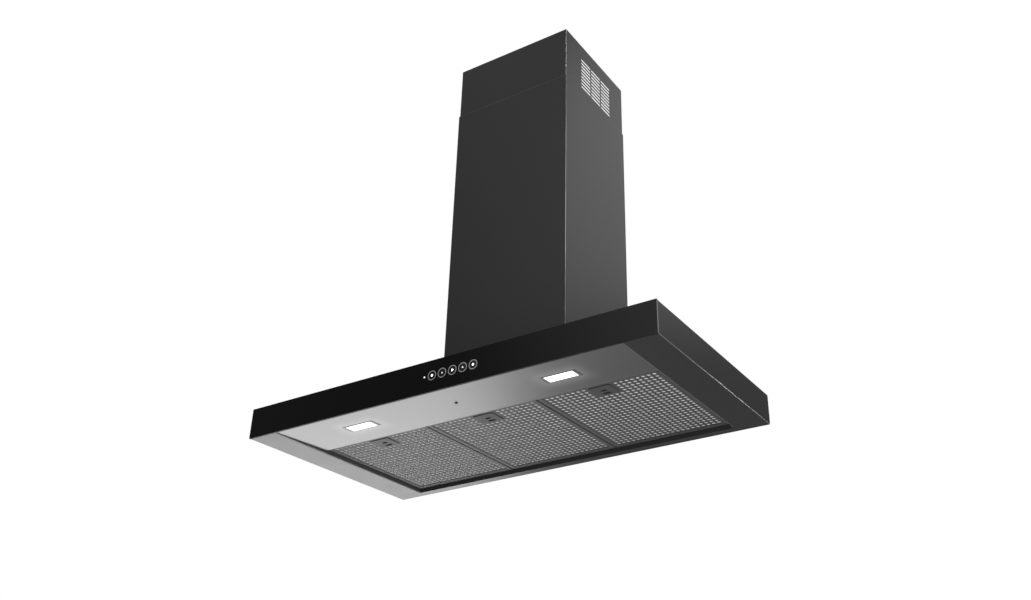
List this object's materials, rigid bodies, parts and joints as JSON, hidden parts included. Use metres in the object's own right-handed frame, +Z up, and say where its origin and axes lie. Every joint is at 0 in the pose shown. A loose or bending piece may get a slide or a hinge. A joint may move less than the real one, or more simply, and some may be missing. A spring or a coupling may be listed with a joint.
{
  "type": "chimney range hood",
  "caption": "Wall-mounted chimney range hood with a flat canopy, glass front with push buttons, drop-down grease filters, blower, duct collar and telescopic chimney.",
  "frame": {"origin": "on the wall, in the middle of the canopy, at the canopy's underside", "axes": "+X to the right seen from the front, +Y towards the wall, +Z up along the chimney"},
  "size_m": [0.898, 0.4663, 0.9325],
  "materials": {
    "black_steel": "black satin with a fine brushed grain under it",
    "recess_steel": "black satin",
    "black_glass": "opaque black, polished",
    "ring_metal": "satin",
    "indicator": "clear light guide",
    "button_cap": "black gloss with a printed sign",
    "black_plastic": "moulded",
    "grey_plastic": "moulded",
    "circuit_board": "green lacquer",
    "black_rubber": "matt",
    "panel_steel": "brushed along the hood's width",
    "bezel_steel": "satin",
    "lamp_diffuser": "white, lit",
    "black_screw": "black",
    "filter_steel": "satin",
    "filter_mesh": "bright foil mesh",
    "latch_steel": "satin",
    "spring_steel": "plain",
    "zinc_steel": "zinc plated, dull",
    "motor_metal": "cast",
    "shaft_steel": "ground"
  },
  "bodies": {
    "root": {"canopy_shell": "black_steel", "glass_front": "black_glass", "button_rings": "ring_metal", "indicator_lens": "indicator", "control_housing": "black_plastic", "control_board": "circuit_board", "keypad_domes": "black_rubber", "lamp_panel": "panel_steel", "panel_post": "zinc_steel", "panel_screw": "black_screw", "lamp_left_bezel": "bezel_steel", "lamp_right_bezel": "bezel_steel", "lamp_left_lens": "lamp_diffuser", "lamp_right_lens": "lamp_diffuser", "lamp_left_board": "circuit_board", "lamp_right_board": "circuit_board", "filter_rail": "recess_steel", "filter_dividers": "recess_steel", "motor_housing": "zinc_steel", "scroll_left": "grey_plastic", "scroll_right": "grey_plastic", "motor": "motor_metal", "motor_bracket": "zinc_steel", "motor_grommets": "black_rubber", "outlet_collar": "black_plastic", "flap_axle": "shaft_steel", "capacitor": "grey_plastic", "terminal_cover": "black_plastic", "cable_gland": "grey_plastic", "housing_screws": "zinc_steel", "lower_chimney": "black_steel"},
    "filter_left": {"filter_left_frame": "filter_steel", "filter_left_face": "filter_steel", "filter_left_core": "filter_mesh", "filter_left_spring": "spring_steel"},
    "latch_left": {"filter_left_latch": "latch_steel"},
    "filter_middle": {"filter_middle_frame": "filter_steel", "filter_middle_face": "filter_steel", "filter_middle_core": "filter_mesh", "filter_middle_spring": "spring_steel"},
    "latch_middle": {"filter_middle_latch": "latch_steel"},
    "filter_right": {"filter_right_frame": "filter_steel", "filter_right_face": "filter_steel", "filter_right_core": "filter_mesh", "filter_right_spring": "spring_steel"},
    "latch_right": {"filter_right_latch": "latch_steel"},
    "button_1": {"button_1": "button_cap"},
    "button_2": {"button_2": "button_cap"},
    "button_3": {"button_3": "button_cap"},
    "button_4": {"button_4": "button_cap"},
    "button_5": {"button_5": "button_cap"},
    "upper_chimney": {"upper_chimney": "black_steel", "ceiling_brackets": "zinc_steel", "bracket_screws": "zinc_steel"},
    "blower_wheel": {"impeller_disc": "grey_plastic", "impeller_left_blades": "grey_plastic", "impeller_right_blades": "grey_plastic", "motor_shaft": "shaft_steel"},
    "flap_front": {"flap_front": "grey_plastic"},
    "flap_rear": {"flap_rear": "grey_plastic"}
  },
  "joints": [
    {"name": "filter_left_swing", "type": "hinge", "parent": "root", "child": "filter_left", "pos_m": [-0.252, -0.026, 0.0078], "axis": [1, 0, 0], "range_deg": [0, 60]},
    {"name": "latch_left_pull", "type": "slide", "parent": "filter_left", "child": "latch_left", "axis": [0, 1, 0], "range_m": [0, 0.003], "stiffness_N_per_m": 600, "deforming": ["filter_left_spring"]},
    {"name": "filter_middle_swing", "type": "hinge", "parent": "root", "child": "filter_middle", "pos_m": [0, -0.026, 0.0078], "axis": [1, 0, 0], "range_deg": [0, 60]},
    {"name": "latch_middle_pull", "type": "slide", "parent": "filter_middle", "child": "latch_middle", "axis": [0, 1, 0], "range_m": [0, 0.003], "stiffness_N_per_m": 600, "deforming": ["filter_middle_spring"]},
    {"name": "filter_right_swing", "type": "hinge", "parent": "root", "child": "filter_right", "pos_m": [0.252, -0.026, 0.0078], "axis": [1, 0, 0], "range_deg": [0, 60]},
    {"name": "latch_right_pull", "type": "slide", "parent": "filter_right", "child": "latch_right", "axis": [0, 1, 0], "range_m": [0, 0.003], "stiffness_N_per_m": 600, "deforming": ["filter_right_spring"]},
    {"name": "button_1_press", "type": "slide", "parent": "root", "child": "button_1", "axis": [0, 1, 0], "range_m": [0, 0.0012], "stiffness_N_per_m": 800, "deforming": ["keypad_domes"]},
    {"name": "button_2_press", "type": "slide", "parent": "root", "child": "button_2", "axis": [0, 1, 0], "range_m": [0, 0.0012], "stiffness_N_per_m": 800, "deforming": ["keypad_domes"]},
    {"name": "button_3_press", "type": "slide", "parent": "root", "child": "button_3", "axis": [0, 1, 0], "range_m": [0, 0.0012], "stiffness_N_per_m": 800, "deforming": ["keypad_domes"]},
    {"name": "button_4_press", "type": "slide", "parent": "root", "child": "button_4", "axis": [0, 1, 0], "range_m": [0, 0.0012], "stiffness_N_per_m": 800, "deforming": ["keypad_domes"]},
    {"name": "button_5_press", "type": "slide", "parent": "root", "child": "button_5", "axis": [0, 1, 0], "range_m": [0, 0.0012], "stiffness_N_per_m": 800, "deforming": ["keypad_domes"]},
    {"name": "chimney_slide", "type": "slide", "parent": "root", "child": "upper_chimney", "axis": [0, 0, 1], "range_m": [-0.125, 0.35]},
    {"name": "blower_spin", "type": "hinge", "parent": "root", "child": "blower_wheel", "pos_m": [0, -0.092, 0.165], "axis": [1, 0, 0], "continuous": true},
    {"name": "flap_front_swing", "type": "hinge", "parent": "root", "child": "flap_front", "pos_m": [0, -0.15, 0.327], "axis": [-1, 0, 0], "range_deg": [0, 77]},
    {"name": "flap_rear_swing", "type": "hinge", "parent": "root", "child": "flap_rear", "pos_m": [0, -0.15, 0.327], "axis": [1, 0, 0], "range_deg": [0, 77]}
  ]
}
